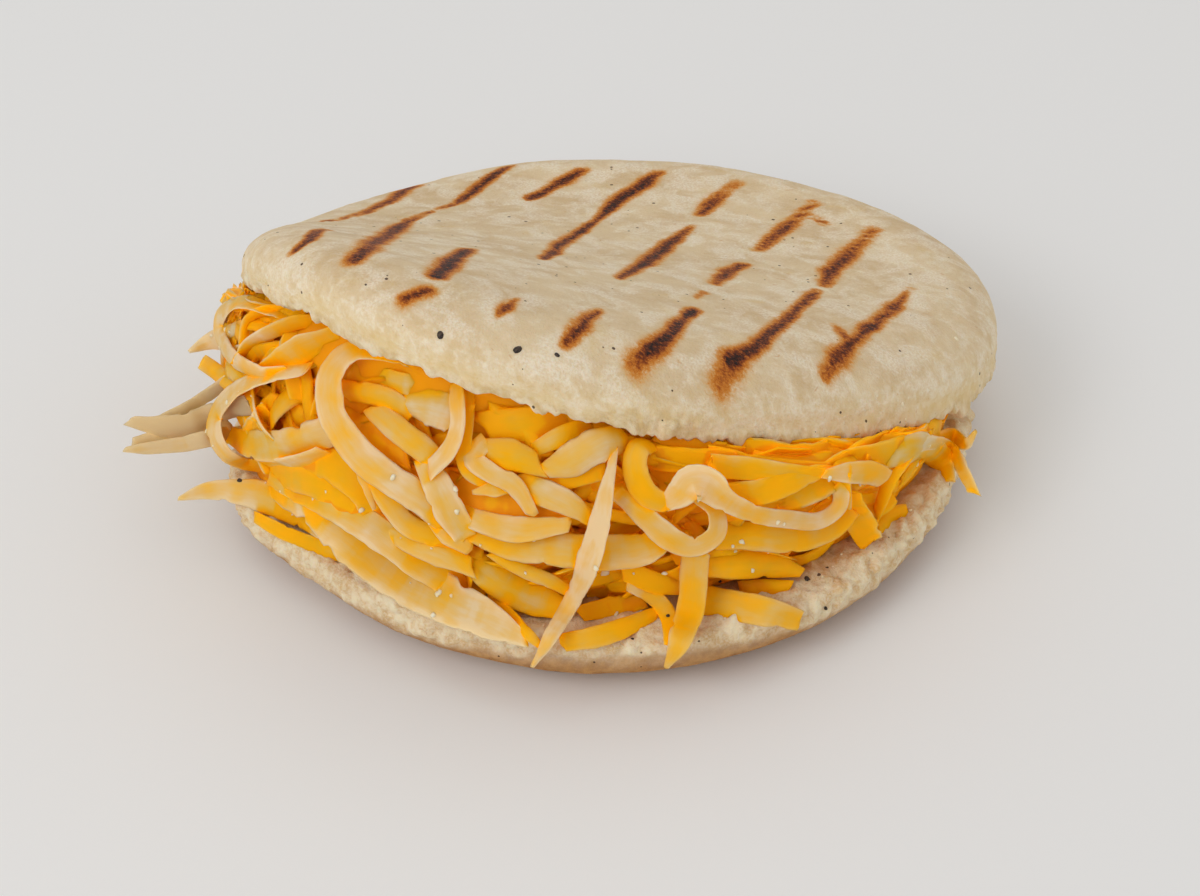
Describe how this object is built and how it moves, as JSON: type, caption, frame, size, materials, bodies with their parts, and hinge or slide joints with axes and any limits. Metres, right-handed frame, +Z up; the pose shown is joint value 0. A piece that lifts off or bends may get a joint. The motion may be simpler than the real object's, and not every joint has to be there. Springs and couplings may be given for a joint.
{
  "type": "cheese-filled arepa corn cake",
  "caption": "Round grilled corn cake, split from the front and propped open by a heap of grated yellow cheese; joined along the back.",
  "frame": {"origin": "centre of the flat underside, where the corn cake rests", "axes": "+Z up through the cake; -Y towards the open mouth; +X to the right of somebody who looks into the mouth"},
  "size_m": [0.128, 0.1167, 0.0555],
  "materials": {
    "bread": "dry white-corn crust, cream with pale brown toasting and charred grill stripes; soft crumb on the cut faces",
    "cheese": "soft yellow grated cheese, slightly waxy and translucent"
  },
  "bodies": {
    "root": {"bread": "bread", "cheese": "cheese"}
  },
  "joints": []
}
